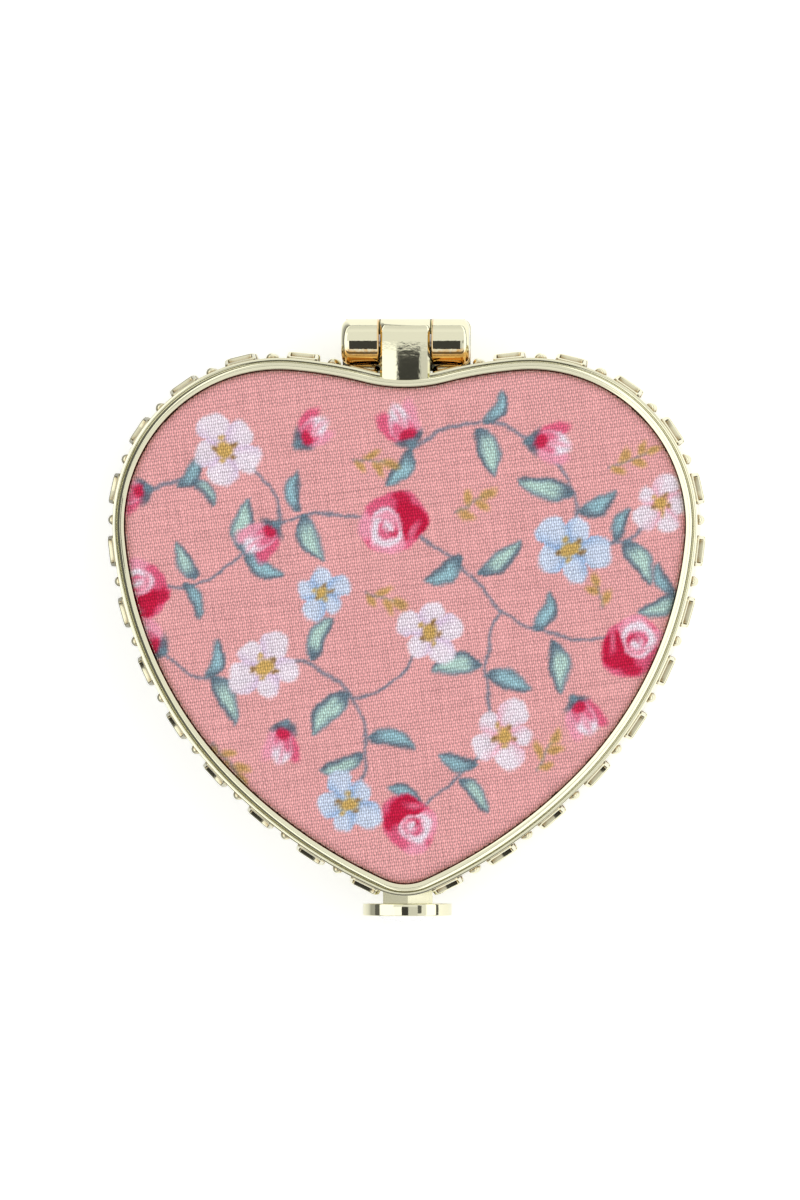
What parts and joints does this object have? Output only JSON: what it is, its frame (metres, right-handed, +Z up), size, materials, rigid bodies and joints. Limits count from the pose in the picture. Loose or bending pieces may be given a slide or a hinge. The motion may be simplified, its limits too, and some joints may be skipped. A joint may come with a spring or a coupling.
{
  "type": "trinket box",
  "caption": "Slim heart-shaped trinket box with a hinged fabric-covered lid, mirror, lined tray and push-button catch.",
  "frame": {"origin": "centre of the closed box in plan, on the surface it rests on", "axes": "+Z up through the lid, +Y towards the hinge, +X to the right seen from above with the hinge at the top"},
  "size_m": [0.07, 0.0706, 0.0164],
  "materials": {
    "gold_plate": "polished pale champagne-gold plating",
    "printed_cotton": "plain-weave cotton with a small floral print",
    "foam": "soft white padding",
    "card": "grey-brown card",
    "tape": "white mounting tape",
    "mirror_glass": "silvered glass",
    "velvet": "flocked velvet",
    "spring_steel": "bright steel",
    "clear_stone": "clear faceted glass"
  },
  "bodies": {
    "base": {"base_frame": "gold_plate", "base_gallery": "gold_plate", "base_cover": "printed_cotton", "base_pad": "foam", "base_board": "card", "tray_liner": "velvet", "hinge_bracket": "gold_plate", "hinge_pin": "spring_steel", "latch_guide": "spring_steel", "guide_screws": "spring_steel", "latch_cover": "gold_plate", "cover_screws": "spring_steel", "button_spring": "spring_steel"},
    "lid": {"lid_frame": "gold_plate", "lid_gallery": "gold_plate", "lid_cover": "printed_cotton", "lid_pad": "foam", "lid_board": "card", "mirror_tape": "tape", "mirror": "mirror_glass", "hinge_strap": "gold_plate", "keeper": "spring_steel", "keeper_rivets": "spring_steel"},
    "button": {"button_disc": "gold_plate", "button_stone": "clear_stone", "latch_slide": "gold_plate"}
  },
  "joints": [
    {"name": "lid_hinge", "type": "hinge", "parent": "base", "child": "lid", "pos_m": [0, 0.03262, 0.0133], "axis": [-1, 0, 0], "range_deg": [0, 170]},
    {"name": "button_press", "type": "slide", "parent": "base", "child": "button", "axis": [0, 1, 0], "range_m": [0, 0.00065], "stiffness_N_per_m": 400, "springref_m": -0.0005, "deforming": ["button_spring"]}
  ]
}
